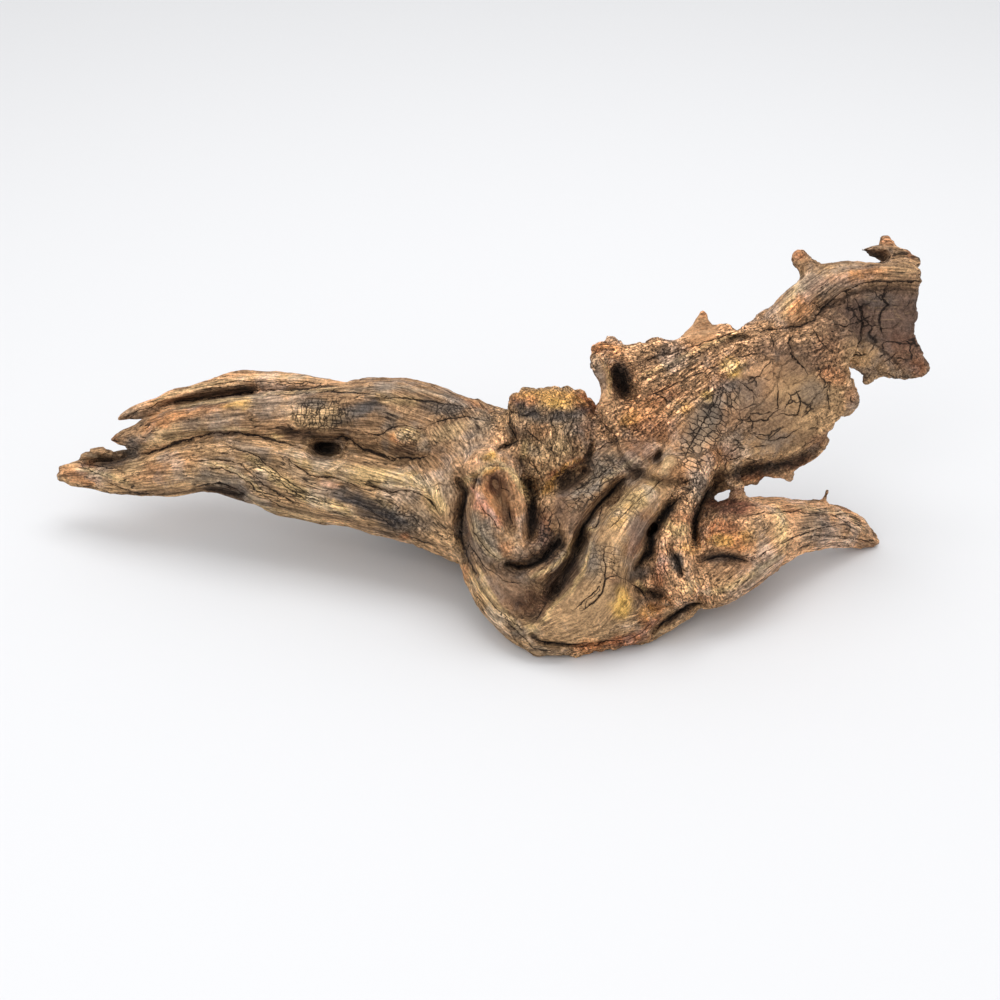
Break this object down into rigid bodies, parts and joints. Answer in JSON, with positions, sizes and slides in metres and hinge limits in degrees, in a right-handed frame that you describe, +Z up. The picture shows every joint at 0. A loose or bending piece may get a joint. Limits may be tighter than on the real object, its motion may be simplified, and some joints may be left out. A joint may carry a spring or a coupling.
{
  "type": "driftwood root log",
  "caption": "Weathered, twisted root log for a tank or terrarium, with a split limb, a knotted belly, a cracked bark plate and a raised arm",
  "frame": {"origin": "middle of the log's footprint on the surface that it lies on", "axes": "+X along the log from the split limb to the raised arm, +Y away from the side that is seen in the picture, +Z up"},
  "size_m": [0.431, 0.1532, 0.1523],
  "materials": {
    "weathered_wood": "weathered matt, cracked and unvarnished"
  },
  "bodies": {
    "root": {"driftwood_log": "weathered_wood"}
  },
  "joints": []
}
